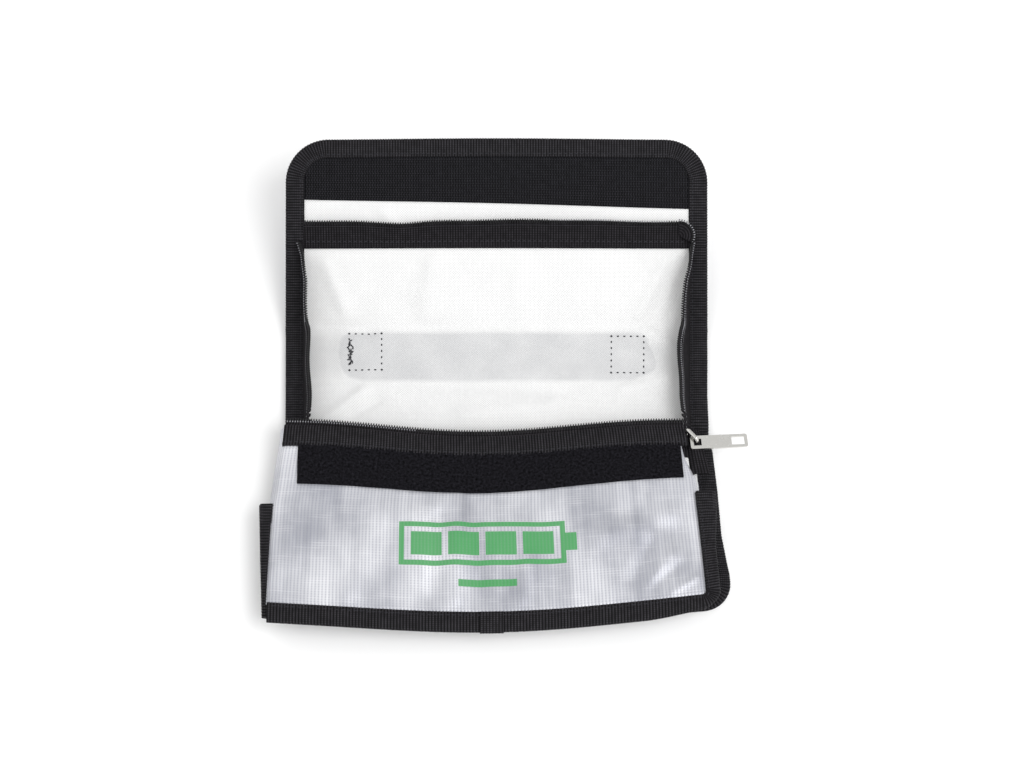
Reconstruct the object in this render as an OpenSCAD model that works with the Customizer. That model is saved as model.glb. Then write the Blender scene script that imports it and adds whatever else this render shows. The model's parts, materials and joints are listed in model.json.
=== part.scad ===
// Fire-resistant battery safety bag, lying on its back with the lid and flap open and the body folded flat.
// Origin: centre of the back panel on its resting face. +X to the right, +Y towards the lid, +Z up.

/* [Body] */
// Height of the back and front panels, from the bottom seam to the mouth
body_h = 84; // [80:1:92]
// Half width of the back panel inside its binding
back_half_w = 95; // [94.8:0.1:96]
// Half width of the side seams, where the side gussets hinge
seam_half_w = 92.6; // [91:0.1:92.6]
// Half width of the front panel
front_half_w = 93; // [92:0.1:93]
// Folded depth of a bottom gusset half next to the back panel
bottom_lower_w = 43; // [42:1:44]
// Folded depth of a bottom gusset half next to the front panel
bottom_upper_w = 49; // [48:1:50]
// Folded depth of each side gusset half
side_w = 46; // [45:0.5:46]
// Angle of the gusset halves to the table when the body lies flat
rest_angle = 6; // [6:0.5:7]

/* [Cloth] */
// Thickness of the silver outer cloth
cloth_t = 0.7; // [0.6:0.1:0.8]
// Thickness of the white lining
lining_t = 0.5; // [0.4:0.1:0.6]
// Width of the binding tape seen on one side
binding_w = 9; // [8:0.5:10]
// Thickness of one layer of binding tape
binding_t = 0.7; // [0.6:0.1:0.8]
// Corner radius of the bindings
corner_r = 14; // [10:1:16]

/* [Lid] */
// Part of the lid that lies flat, from the hinge to the crease
lid_flat = 56; // [54:1:57]
// Part of the lid that rises, from the crease to the flap
lid_rise = 41; // [40:1:42]
// Angle at which the raised part stands
lid_angle = 28; // [26:1:30]
// Height of the lid cloth above the table, on top of the handle
lid_lift = 2.2; // [2.1:0.1:2.4]
// Length of the flap beyond the lid, binding included
flap_l = 53; // [50:1:56]

/* [Fastenings] */
// Visible width of the hook strip
hook_w = 23.5; // [20:0.5:24]
// Visible width of the loop strip
loop_w = 19; // [16:0.5:20]
// Half length of the loop strip
loop_half_l = 88; // [80:1:92]
// Thickness of the hook and loop strips
strip_t = 1; // [0.8:0.1:1.2]
// Width of a zip tape
tape_w = 12; // [11:0.5:12]
// Part of a side tape that stands up from the lid
side_tape_h = 9; // [8:0.5:10]
// Thickness of a zip tape
tape_t = 0.4; // [0.3:0.1:0.5]
// Pitch of the zip coil
coil_pitch = 1.2; // [1.2:0.1:2.4]
// Thickness of the zip coil
coil_t = 1.2; // [1:0.1:1.2]

/* [Handle and pull] */
// Half distance between the two stitched boxes
handle_half_gap = 64; // [60:1:66]
// Distance of the handle's centre line from the hinge
handle_y = 43; // [40:1:42]
// Width of the handle webbing
webbing_w = 25; // [20:1:25]
// Thickness of the handle webbing
webbing_t = 1.7; // [1.4:0.1:1.8]
// Length of the pull tab
tab_l = 25; // [22:1:28]
// Width of the pull tab
tab_w = 6.6; // [6:0.1:6.8]

/* [Hidden] */

SILVER = [0.80, 0.80, 0.85];
WHITE = [0.93, 0.93, 0.93];
BLACK = [0.05, 0.05, 0.05];
NICKEL = [0.75, 0.74, 0.72];
GREY = [0.35, 0.35, 0.35];

wall_t = cloth_t + lining_t;
bound_t = wall_t + 2 * binding_t - cloth_t + 0.1;
seam_y = -body_h / 2;
hinge_y = body_h / 2;
seam_gap = 0.5;
hem = 4;
slack = 0.2;
seam_z = 2.05;
front_gap = 0.8;
axis_n = 3;
hinge_z = lid_lift + axis_n;

// Places of the gusset creases and of the front seam, for gusset halves of depth a and b
function crease_run(a) = a * cos(rest_angle) - wall_t * sin(rest_angle);
function crease_rise(a) = a * sin(rest_angle) + wall_t * cos(rest_angle);
top_seam_z = seam_z + crease_rise(bottom_lower_w) + crease_rise(bottom_upper_w);
front_seam_y = seam_y + crease_run(bottom_lower_w) - crease_run(bottom_upper_w);
front_top_y = front_seam_y + body_h;
front_z = top_seam_z + front_gap;

crease_y = hinge_y + lid_flat;
mitre = tan(lid_angle / 2);
flap_y = crease_y + lid_rise * cos(lid_angle);
flap_z = lid_lift + lid_rise * sin(lid_angle);

// Mouth edges of the side gusset halves next to the back and next to the front
coil_gap = 0.05;
gusset_coil_d = 1.3;
lower_mouth_y = hinge_y - gusset_coil_d - 2 * coil_gap;
upper_mouth_y = front_top_y + 1;
mouth_band_w = 10.4;
side_binding_top = front_top_y - 40;

// Radius that leaves a corner square
square_r = 0.01;

// ---- shapes shared by several pieces ----

// A flat outline with two rounded corners at its low end
module rounded_low(half_w, y0, y1, r) {
    translate([-half_w, y0 + r]) square([2 * half_w, y1 - y0 - r]);
    translate([-half_w + r, y0]) square([2 * (half_w - r), r]);
    for (side = [-1, 1])
        translate([side * (half_w - r), y0 + r]) circle(r, $fn = 64);
}

// Binding tape folded over the edge of a panel that stops at half_w and y0
module folded_binding(half_w, y0, y1) {
    difference() {
        linear_extrude(bound_t)
            difference() {
                rounded_low(half_w + binding_w, y0 - binding_w, y1, corner_r);
                rounded_low(half_w, y0, y1 + 1, square_r);
            }
        translate([0, 0, cloth_t])
            linear_extrude(lining_t)
                rounded_low(half_w + hem + slack, y0 - hem - slack, y1 + 1, corner_r - hem);
    }
}

// A run of zip coil teeth of length l along +X, depth d and thickness t
module coil_run(l, d, t) {
    count = floor(l / coil_pitch);
    tooth = coil_pitch * 0.3;
    points = [for (i = [0 : count - 1], k = [0 : 3])
        [i * coil_pitch + (k < 2 ? 0 : coil_pitch - tooth * 1.4), (k == 1 || k == 2) ? d : d * 0.45]];
    linear_extrude(t)
        polygon(concat([[0, 0]], points, [[count * coil_pitch, d * 0.45], [count * coil_pitch, 0]]));
}

// A bottom gusset half in its own plane: x along the seam, y away from it, bevelled at both ends
module bottom_half(depth) {
    half_w = seam_half_w - 0.5;
    polygon([[-half_w, 0], [half_w, 0],
        [half_w - bottom_lower_w, depth], [-half_w + bottom_lower_w, depth]]);
}

// A side gusset half: x in from the seam, y from its bevelled low end up to the mouth
module side_half(mouth_seam_y, mouth_crease_y) {
    low_y = seam_y + 1;
    polygon([[0, low_y], [side_w, low_y + side_w], [side_w, mouth_crease_y], [0, mouth_seam_y]]);
}

// Puts a plane on the lower (up = 1) or upper (up = -1) side of the folded bottom
module on_bottom(up) {
    translate([0, up > 0 ? seam_y : front_seam_y, up > 0 ? seam_z : top_seam_z])
        rotate([up * rest_angle, 0, 0])
            children();
}

// Puts a plane on a side gusset half: side is -1 left or 1 right, up is 1 lower or -1 upper
module on_side(side, up) {
    translate([side * seam_half_w, 0, up > 0 ? seam_z : top_seam_z])
        rotate([0, side * up * rest_angle, 0])
            mirror([side > 0 ? 1 : 0, 0, 0])
                children();
}

// A layer of a gusset half; its lining faces the panel that it is sewn to
module layer(up, from, to) {
    translate([0, 0, up > 0 ? from : -to])
        linear_extrude(to - from)
            children();
}

// The lid's side view between two heights above its outer face, from y0 to the flap seam less short
function lid_profile(y0, n0, n1, short) = [
    [y0, lid_lift + n0],
    [crease_y - n0 * mitre, lid_lift + n0],
    lid_point(lid_rise - short, n0),
    lid_point(lid_rise - short, n1),
    [crease_y - n1 * mitre, lid_lift + n1],
    [y0, lid_lift + n1]];
function lid_point(l, n) = [
    crease_y + l * cos(lid_angle) - n * sin(lid_angle),
    lid_lift + l * sin(lid_angle) + n * cos(lid_angle)];

// Extrudes a side view from x0 to x1
module across(x0, x1) {
    translate([x0, 0, 0])
        rotate([90, 0, 90])
            linear_extrude(x1 - x0)
                children();
}

// A lid layer from x0 to x1 and from height n0 to n1
module lid_layer(x0, x1, n0, n1) {
    across(x0, x1) polygon(lid_profile(hinge_y + seam_gap, n0, n1, 0));
}

// Places a piece in the flap's plane: y away from the lid, z away from the outer face
module on_flap() {
    translate([0, flap_y, flap_z]) rotate([lid_angle, 0, 0]) children();
}

// ---- back ----

module back_outer() {
    color(SILVER)
        translate([-back_half_w, seam_y, 0])
            cube([2 * back_half_w, body_h - seam_gap, cloth_t]);
}

module back_lining() {
    color(WHITE)
        translate([0, 0, cloth_t])
            linear_extrude(lining_t)
                rounded_low(back_half_w + hem, seam_y - hem, hinge_y - seam_gap, corner_r - hem);
}

module back_binding() {
    color(BLACK) folded_binding(back_half_w, seam_y, hinge_y - seam_gap);
}

// ---- bottom gusset ----

module bottom_outer(up, depth) {
    color(SILVER) on_bottom(up) layer(up, lining_t, wall_t) bottom_half(depth);
}

module bottom_lining(up, depth) {
    color(WHITE) on_bottom(up) layer(up, 0, lining_t) bottom_half(depth);
}

module bottom_lower_outer() { bottom_outer(1, bottom_lower_w); }
module bottom_lower_lining() { bottom_lining(1, bottom_lower_w); }
module bottom_upper_outer() { mirror_upper() bottom_outer(1, bottom_upper_w); }
module bottom_upper_lining() { mirror_upper() bottom_lining(1, bottom_upper_w); }

// The upper bottom half is the lower one turned upside down at the front seam
module mirror_upper() {
    translate([0, front_seam_y - seam_y, top_seam_z + seam_z]) mirror([0, 0, 1]) children();
}

// ---- side gussets ----

// Distance that the tapes and coils keep from the seam and the crease
end_inset = 2;

function mouth_y(up) = up > 0 ? lower_mouth_y : upper_mouth_y;

module side_plane(up) {
    side_half(mouth_y(up), lower_mouth_y);
}

module side_outer(side, up) {
    color(SILVER) on_side(side, up) layer(up, lining_t, wall_t) side_plane(up);
}

module side_lining(side, up) {
    color(WHITE) on_side(side, up) layer(up, 0, lining_t) side_plane(up);
}

// The zip tape is sewn under the lining along the mouth
module side_tape(side, up) {
    color(BLACK)
        on_side(side, up)
            layer(up, -tape_t, 0)
                translate([end_inset, mouth_y(up) - tape_w + 2])
                    square([side_w - 2 * end_inset, tape_w - 2.5]);
}

// The coil follows the mouth edge, which slants on the half next to the front
module side_coil(side, up) {
    slant = (lower_mouth_y - mouth_y(up)) / side_w;
    color(BLACK)
        on_side(side, up)
            translate([end_inset, mouth_y(up) + coil_gap + end_inset * slant, up > 0 ? 0 : -coil_t])
                rotate([0, 0, atan(slant)])
                    coil_run(side_w - 2 * end_inset, gusset_coil_d, coil_t);
}

module left_lower_outer() { side_outer(-1, 1); }
module left_lower_lining() { side_lining(-1, 1); }
module left_lower_tape() { side_tape(-1, 1); }
module left_lower_coil() { side_coil(-1, 1); }
module left_upper_outer() { side_outer(-1, -1); }
module left_upper_lining() { side_lining(-1, -1); }
module left_upper_tape() { side_tape(-1, -1); }
module left_upper_coil() { side_coil(-1, -1); }
module right_lower_outer() { side_outer(1, 1); }
module right_lower_lining() { side_lining(1, 1); }
module right_lower_tape() { side_tape(1, 1); }
module right_lower_coil() { side_coil(1, 1); }
module right_upper_outer() { side_outer(1, -1); }
module right_upper_lining() { side_lining(1, -1); }
module right_upper_tape() { side_tape(1, -1); }
module right_upper_coil() { side_coil(1, -1); }

// ---- front ----

// A flat front piece between two heights above the front's inner face
module front_layer(n0, n1) {
    translate([0, 0, front_z + n0]) linear_extrude(n1 - n0) children();
}

module front_outline(half_w, y0, y1) {
    translate([-half_w, y0]) square([2 * half_w, y1 - y0]);
}

module front_outer() {
    color(SILVER) front_layer(lining_t, wall_t) front_outline(front_half_w, front_seam_y, front_top_y);
}

module front_lining() {
    color(WHITE)
        front_layer(0, lining_t) {
            front_outline(front_half_w, front_seam_y, front_top_y);
            rounded_low(front_half_w + hem, front_seam_y - hem, side_binding_top, corner_r - hem);
        }
}

module loop_strip() {
    top = front_top_y - mouth_band_w;
    color(BLACK) front_layer(wall_t, wall_t + strip_t) front_outline(loop_half_l, top - loop_w, top);
}

module front_binding() {
    color(BLACK)
        translate([0, 0, front_z + wall_t])
            mirror([0, 0, 1])
                folded_binding(front_half_w, front_seam_y, side_binding_top);
}

module front_zip_tape() {
    color(BLACK)
        front_layer(wall_t, wall_t + tape_t)
            front_outline(front_half_w, front_top_y - mouth_band_w + 0.3, front_top_y + 0.9);
}

module mouth_binding() {
    low = wall_t + tape_t;
    color(BLACK)
        front_layer(low, low + binding_t)
            front_outline(front_half_w, front_top_y - mouth_band_w, front_top_y - 0.6);
}

module front_zip_coil() {
    color(BLACK)
        translate([-front_half_w + 0.6, front_top_y - 0.5, front_z + wall_t + tape_t])
            coil_run(2 * front_half_w - 1.2, 2, coil_t);
}

// ---- lid ----

module lid_outer() { color(SILVER) lid_layer(-back_half_w, back_half_w, 0, cloth_t); }

module lid_lining() {
    color(WHITE) lid_layer(-back_half_w - hem, back_half_w + hem, cloth_t, wall_t);
}

module lid_binding() {
    color(BLACK)
        for (side = [0, 1])
            mirror([side, 0, 0])
                difference() {
                    lid_layer(back_half_w, back_half_w + binding_w, 0, bound_t);
                    lid_layer(back_half_w - 1, back_half_w + hem + slack, cloth_t, wall_t);
                }
}

tape_x = back_half_w - 0.7;

// The side zip tapes stand on edge inside the bindings
module lid_side_tapes() {
    color(BLACK)
        for (side = [0, 1])
            mirror([side, 0, 0])
                lid_layer(tape_x, tape_x + tape_t, wall_t, wall_t + side_tape_h);
}

module lid_side_coils() {
    top = wall_t + side_tape_h;
    flat_l = lid_flat - seam_gap - top * mitre - 0.4;
    rise_l = lid_rise - (top + 2) * mitre - 0.8;
    rise_start = lid_point(lid_rise - rise_l, top);
    color(BLACK)
        for (side = [0, 1])
            mirror([side, 0, 0]) {
                translate([tape_x + 0.8, hinge_y + seam_gap, lid_lift + top]) standing_coil(flat_l);
                translate([tape_x + 0.8, rise_start[0], rise_start[1]])
                    rotate([lid_angle, 0, 0]) standing_coil(rise_l);
            }
}

// A run of coil along +Y with its teeth pointing up
module standing_coil(l) {
    rotate([0, -90, 0]) rotate([0, 0, 90]) mirror([0, 1, 0]) coil_run(l, 2, coil_t);
}

// Webbing that carries the bag, sewn on under the lid by the two boxes
module handle_strap() {
    half_l = handle_half_gap + 11;
    color(BLACK)
        translate([-half_l, hinge_y + handle_y - webbing_w / 2, lid_lift - webbing_t - 0.05])
            cube([2 * half_l, webbing_w, webbing_t]);
}

// Stitches of the two boxes on the lining
module handle_stitching() {
    box = [17.5, 20];
    stitch = 2.2;
    pitch = 3.4;
    thread = 0.5;
    color(GREY)
        for (side = [-1, 1])
            translate([side * handle_half_gap, hinge_y + handle_y, lid_lift + wall_t]) {
                for (edge = [-1, 1], i = [-2 : 2])
                    translate([i * pitch - stitch / 2, edge * box[1] / 2 - thread / 2, 0])
                        cube([stitch, thread, thread / 2]);
                for (edge = [-1, 1], i = [-2 : 2])
                    translate([edge * box[0] / 2 - thread / 2, i * pitch - stitch / 2, 0])
                        cube([thread, stitch, thread / 2]);
            }
}

// ---- flap ----

flap_free = flap_l - binding_w;

module flap_outer() {
    color(SILVER)
        on_flap() translate([-back_half_w, seam_gap, 0]) cube([2 * back_half_w, flap_free - seam_gap, cloth_t]);
}

module flap_lining() {
    color(WHITE)
        on_flap()
            translate([0, 0, cloth_t])
                mirror([0, 1, 0])
                    linear_extrude(lining_t)
                        rounded_low(back_half_w + hem, -flap_free - hem, -seam_gap, corner_r - hem);
}

module flap_binding() {
    color(BLACK)
        on_flap() mirror([0, 1, 0]) folded_binding(back_half_w, -flap_free, -seam_gap);
}

module hook_strip() {
    color(BLACK)
        on_flap()
            translate([-back_half_w, flap_free - hook_w, wall_t])
                cube([2 * back_half_w, hook_w, strip_t]);
}

flap_tape_half = back_half_w - 3;

module flap_zip_tape() {
    color(BLACK)
        on_flap()
            translate([-flap_tape_half, seam_gap, wall_t])
                cube([2 * flap_tape_half, tape_w - 1, tape_t]);
}

module flap_zip_coil() {
    color(BLACK)
        on_flap()
            translate([-flap_tape_half, tape_w - 1.4, wall_t + tape_t])
                coil_run(2 * flap_tape_half, 2, coil_t);
}

// ---- zip slider, link and tab ----

slider_l = 12;
slider_y = hinge_y + 0.6;
slider_in = tape_x - 1.1;
slider_out = tape_x + 2.2;
coil_mid_z = lid_lift + wall_t + side_tape_h + 1;
crown_stand = 3.4;
crown_r = 0.5;
crown_x = slider_out + crown_stand;
post_w = 1;
link_y = slider_y + 3.2;
link_r = 2.1;
wire_r = 0.7;
link_back = 1.1;
link_run = 7;
link_yaw = -50;

// Two plates around the coil, joined over the top, with a crown for the link on the outer plate
module slider_body() {
    plate_h = 5.6;
    color(BLACK) {
        difference() {
            translate([slider_in, slider_y, coil_mid_z - plate_h / 2])
                cube([slider_out - slider_in, slider_l, plate_h]);
            translate([slider_in + 0.7, slider_y - 1, coil_mid_z - plate_h / 2 - 1])
                cube([slider_out - slider_in - 1.4, slider_l + 2, plate_h]);
        }
        for (y = [slider_y + 0.4, slider_y + slider_l - 0.4 - post_w])
            translate([slider_out, y, coil_mid_z - 0.6])
                cube([crown_stand + crown_r, post_w, 1.2]);
        translate([crown_x, slider_y + 0.4, coil_mid_z])
            rotate([-90, 0, 0]) cylinder(r = crown_r, h = slider_l - 0.8, $fn = 32);
    }
}

// A ring of wire with straight sides, lying in the XZ plane along +X
module stadium_ring(r, run, wire) {
    for (end = [0, 1])
        translate([end * run, 0, 0])
            rotate([90, end * 180 - 90, 0])
                rotate_extrude(angle = 180, $fn = 48) translate([r, 0]) circle(wire, $fn = 24);
    for (edge = [-1, 1])
        translate([0, 0, edge * r])
            rotate([0, 90, 0]) cylinder(r = wire, h = run, $fn = 24);
}

module pull_link() {
    color(NICKEL)
        translate([crown_x, link_y, coil_mid_z])
            rotate([0, 0, link_yaw])
                translate([-link_back, 0, 0]) stadium_ring(link_r, link_run, wire_r);
}

link_reach = link_run - link_back + link_r;
hook_x = crown_x + link_reach * cos(link_yaw);
hook_y = link_y + link_reach * sin(link_yaw);
tab_t = 1.1;

// Flat tab with a slot for the link at one end and a window at the other
module pull_tab() {
    slot = 3.4;
    rim = 1.4;
    window = [5.6, 4];
    r = 1;
    color(NICKEL)
        translate([hook_x - slot / 2 - rim, hook_y, coil_mid_z - tab_t / 2])
            difference() {
                translate([r, -tab_w / 2 + r, 0])
                    union() {
                        translate([-r, 0, 0]) cube([tab_l, tab_w - 2 * r, tab_t]);
                        translate([0, -r, 0]) cube([tab_l - 2 * r, tab_w, tab_t]);
                        for (x = [0, tab_l - 2 * r], y = [0, tab_w - 2 * r])
                            translate([x, y, 0]) cylinder(r = r, h = tab_t, $fn = 32);
                    }
                translate([rim, -slot / 2, -1]) cube([slot, slot, tab_t + 2]);
                translate([tab_l - rim - window[0], -window[1] / 2, -1])
                    cube([window[0], window[1], tab_t + 2]);
            }
}

back_outer();
back_lining();
back_binding();
bottom_lower_outer();
bottom_lower_lining();
bottom_upper_outer();
bottom_upper_lining();
left_lower_outer();
left_lower_lining();
left_lower_tape();
left_lower_coil();
left_upper_outer();
left_upper_lining();
left_upper_tape();
left_upper_coil();
right_lower_outer();
right_lower_lining();
right_lower_tape();
right_lower_coil();
right_upper_outer();
right_upper_lining();
right_upper_tape();
right_upper_coil();
front_outer();
front_lining();
loop_strip();
front_binding();
mouth_binding();
front_zip_tape();
front_zip_coil();
lid_outer();
lid_lining();
lid_binding();
lid_side_tapes();
lid_side_coils();
handle_strap();
handle_stitching();
flap_outer();
flap_lining();
flap_binding();
hook_strip();
flap_zip_tape();
flap_zip_coil();
slider_body();
pull_link();
pull_tab();
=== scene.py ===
import json
import math

import bmesh
import bpy
import numpy as np
from mathutils import Matrix, Vector, noise


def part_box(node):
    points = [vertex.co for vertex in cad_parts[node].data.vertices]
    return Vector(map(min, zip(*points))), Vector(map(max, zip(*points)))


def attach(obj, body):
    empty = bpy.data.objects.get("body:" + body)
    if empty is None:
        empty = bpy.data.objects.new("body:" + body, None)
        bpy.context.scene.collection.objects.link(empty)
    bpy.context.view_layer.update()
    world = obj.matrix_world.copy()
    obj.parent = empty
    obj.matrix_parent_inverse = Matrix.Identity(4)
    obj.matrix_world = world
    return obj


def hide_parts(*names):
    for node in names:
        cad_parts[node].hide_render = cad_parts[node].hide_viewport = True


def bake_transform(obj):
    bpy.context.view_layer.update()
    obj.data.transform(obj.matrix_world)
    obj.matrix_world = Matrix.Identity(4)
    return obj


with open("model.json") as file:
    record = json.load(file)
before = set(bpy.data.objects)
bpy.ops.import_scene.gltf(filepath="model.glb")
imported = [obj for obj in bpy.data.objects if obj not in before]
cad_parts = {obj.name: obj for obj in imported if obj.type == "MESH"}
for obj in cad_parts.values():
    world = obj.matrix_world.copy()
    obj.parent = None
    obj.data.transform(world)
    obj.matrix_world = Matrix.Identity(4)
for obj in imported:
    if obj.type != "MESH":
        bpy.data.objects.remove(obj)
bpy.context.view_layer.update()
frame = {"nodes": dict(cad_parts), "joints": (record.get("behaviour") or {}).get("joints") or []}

# Lengths below are in millimetres; every mesh is scaled to metres as it is made.
MM = 0.001


def cad(node):
    """Lowest and highest corner of a CAD node, in millimetres."""
    low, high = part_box(node)
    return np.array(low) / MM, np.array(high) / MM


def joint_at(name):
    """Place of a joint in millimetres."""
    return np.array(next(j["pos_m"] for j in frame["joints"] if j["name"] == name)) / MM


def spread(*values):
    """Arrays of one shape from numbers and arrays."""
    return np.broadcast_arrays(*(np.asarray(value, float) for value in values))


SEAM_Y = cad("back_outer")[0][1]
HINGE_Y = joint_at("lid_fold")[1]
PANEL_HALF = cad("back_outer")[1][0]
OUTER_HALF = cad("back_binding")[1][0]
BINDING_W = OUTER_HALF - PANEL_HALF
BACK_H = HINGE_Y - SEAM_Y
FRONT_LOW, FRONT_HIGH = cad("front_outer")
FRONT_H = FRONT_HIGH[1] - FRONT_LOW[1]
FRONT_HALF = FRONT_HIGH[0]

HANDLE_LOW, HANDLE_HIGH = cad("handle_strap")
HANDLE_S = (HANDLE_LOW[1] + HANDLE_HIGH[1]) / 2 - HINGE_Y
HANDLE_END = 11.0
HANDLE_HALF = HANDLE_HIGH[0] - HANDLE_END

# Distances along the cloth from the lid hinge
CREASE_S = 56.0
SEAM_S = 97.0
FLAP_L = 53.0

LID_LIFT = cad("lid_outer")[0][2]
LID_ANGLE = math.radians(28)
CLOTH_T = 0.7
LINING_N = 1.2
BINDING_TOP = 2.1
RIB_PITCH = 1.33
RIB_STEP = RIB_PITCH / 4
SILVER_PITCH = 1.5
TOOTH_PITCH = 1.2
STITCH_PITCH = 2.6

# Directions on the cloth, as (dx, ds)
ACROSS = (1.0, 0.0)
ALONG = (0.0, 1.0)


# ---- materials

def new_material(name, slot_name, base, rough, metallic=0.0, gloss=0.5):
    """A plain Principled material that remembers its slot."""
    mat = bpy.data.materials.new(name)
    mat.use_nodes = True
    mat["slot"] = slot_name
    shader = mat.node_tree.nodes["Principled BSDF"]
    for socket, value in (("Base Color", (*base, 1)), ("Roughness", rough), ("Metallic", metallic),
                          ("Specular IOR Level", gloss)):
        shader.inputs[socket].default_value = value
    return mat


def feed(tree, socket, value):
    """Sets a socket to a number, or to a tuple with a 1 after it, or links it to another node's output."""
    if isinstance(value, (int, float)):
        socket.default_value = value
    elif isinstance(value, tuple):
        socket.default_value = (*value, 1)
    else:
        tree.links.new(value, socket)


def add_node(tree, kind, **values):
    """A shader node with some of its inputs set or linked."""
    node = tree.nodes.new("ShaderNode" + kind)
    for name, value in values.items():
        feed(tree, node.inputs[name], value)
    return node


def calc(tree, op, *values):
    """The result of one piece of arithmetic on numbers or other outputs."""
    node = tree.nodes.new("ShaderNodeMath")
    node.operation = op
    for socket, value in zip(node.inputs, values):
        feed(tree, socket, value)
    return node.outputs[0]


class Graph:
    """Small helper that writes node maths for one material."""

    def __init__(self, mat):
        self.tree = mat.node_tree
        self.shader = self.tree.nodes["Principled BSDF"]
        uv = add_node(self.tree, "UVMap")
        uv.uv_map = "fabric"
        split = add_node(self.tree, "SeparateXYZ", Vector=uv.outputs[0])
        self.uv, self.u, self.v = uv.outputs[0], split.outputs[0], split.outputs[1]

    def set(self, name, value):
        """Feeds an input of the material's shader."""
        feed(self.tree, self.shader.inputs[name], value)

    def math(self, op, *values):
        return calc(self.tree, op, *values)

    def times(self, a, b):
        return self.math("MULTIPLY", a, b)

    def plus(self, a, b):
        return self.math("ADD", a, b)

    def wave(self, coordinate, pitch, sharp=1.0):
        """0 to 1 ribs along a coordinate, with the given pitch in millimetres."""
        turned = self.times(coordinate, 2 * math.pi / pitch)
        rib = self.math("MULTIPLY_ADD", self.math("COSINE", turned), 0.5, 0.5)
        return self.math("POWER", rib, sharp)

    def noise(self, scale, detail=2.0, stretch=(1, 1), rough=0.5):
        """Noise over the fabric; scale is in features per millimetre."""
        sizes = (scale * stretch[0], scale * stretch[1])
        where = add_node(self.tree, "Mapping", Scale=sizes, Vector=self.uv).outputs[0]
        noise_node = add_node(self.tree, "TexNoise", Scale=1, Detail=detail, Roughness=rough, Vector=where)
        return noise_node.outputs[0]

    def mix(self, factor, a, b):
        node = add_node(self.tree, "Mix")
        node.data_type = "RGBA"
        for index, value in ((0, factor), (6, a), (7, b)):
            feed(self.tree, node.inputs[index], value)
        return node.outputs[2]

    def fit(self, value, low, high, to_low=0.0, to_high=1.0):
        """Maps low..high to to_low..to_high, held at both ends."""
        node = add_node(self.tree, "MapRange")
        for socket, number in zip(node.inputs, (value, low, high, to_low, to_high)):
            feed(self.tree, socket, number)
        return node.outputs[0]

    def bump(self, height, strength, distance):
        node = add_node(self.tree, "Bump", Strength=strength, Distance=distance * MM, Height=height)
        self.set("Normal", node.outputs[0])

    def inside(self, centre, half):
        """1 inside a box on the fabric, 0 outside."""
        masks = []
        for coordinate, middle, reach in zip((self.u, self.v), centre, half):
            away = self.math("ABSOLUTE", self.math("SUBTRACT", coordinate, middle))
            masks.append(self.math("LESS_THAN", away, reach))
        return self.times(*masks)


def twill(g, pitch):
    """Fine diagonal weave."""
    a = g.wave(g.plus(g.u, g.v), pitch)
    b = g.wave(g.math("SUBTRACT", g.u, g.v), pitch)
    return g.times(a, b)


SILVER_METAL = 0.45


def silver_material(printed):
    """Aluminised cloth: ribs with dark dashes between them over broad, soft painted lights and darks that
    stand in for the reflections of folds.
    """
    name = "silver_print" if printed else "silver"
    mat = new_material(name, "silver_cloth", (0.6, 0.6, 0.64), 0.4, metallic=SILVER_METAL)
    g = Graph(mat)
    rib = g.wave(g.u, SILVER_PITCH, 0.8)
    cross = g.wave(g.v, 1.15, 1.2)
    gap = g.math("POWER", g.math("SUBTRACT", 1, rib), 1.4)
    dash = g.times(gap, g.math("MULTIPLY_ADD", cross, -0.7, 1))
    # Painted light and shade: broad soft areas and long streaks, lighter and darker, standing in for the
    # reflections of folds.
    painted_light_patch = g.fit(g.noise(0.035, 3, (1, 0.55)), 0.36, 0.66)
    streak = g.noise(0.3, 2, (1, 0.05))
    shade = g.plus(g.times(painted_light_patch, 0.6), g.times(streak, 0.4))
    colour = g.mix(shade, (0.25, 0.26, 0.30), (0.84, 0.845, 0.87))
    colour = g.mix(g.times(dash, 0.62), colour, (0.24, 0.24, 0.31))
    line = g.fit(g.noise(0.3, 2, (0.2, 1)), 0.5, 0.75)
    bright = g.times(g.times(cross, line), 0.25)
    colour = g.mix(bright, colour, (0.90, 0.90, 0.92))
    if printed:
        ink = battery_mark(g)
        cover = g.fit(dash, 0, 1, 0.94, 0.8)
        colour = g.mix(g.times(ink, cover), colour, (0.03, 0.28, 0.065))
        g.set("Metallic", g.times(g.math("SUBTRACT", 1, ink), SILVER_METAL))
    g.set("Base Color", colour)
    g.set("Roughness", g.fit(streak, 0.2, 0.8, 0.42, 0.56))
    g.bump(g.plus(rib, g.times(cross, 0.5)), 0.35, 0.12)
    return mat


def battery_mark(g):
    """A generic battery: outline, end cap and four cell blocks, with a plain bar under it."""
    centre_x, centre_t = -1.5, 29.5
    half_l, half_h, line = 36.0, 9.5, 2.2
    cap_half = 2.4
    shell = g.math("SUBTRACT", g.inside((centre_x, centre_t), (half_l, half_h)),
                   g.inside((centre_x, centre_t), (half_l - line, half_h - line)))
    cap = g.inside((centre_x + half_l + cap_half, centre_t), (cap_half, 4.0))
    ink = g.math("MAXIMUM", shell, cap)
    cells, cells_half = 4, half_l - line - 1.5
    cell_pitch = 2 * cells_half / cells
    for i in range(cells):
        cell_x = centre_x - cells_half + cell_pitch * (i + 0.5)
        cell = g.inside((cell_x, centre_t), (cell_pitch / 2 - 1.4, half_h - line - 2.2))
        ink = g.math("MAXIMUM", ink, cell)
    bar = g.inside((centre_x + 2.0, centre_t - 17.0), (12.5, 1.5))
    return g.math("MAXIMUM", ink, bar)


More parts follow.
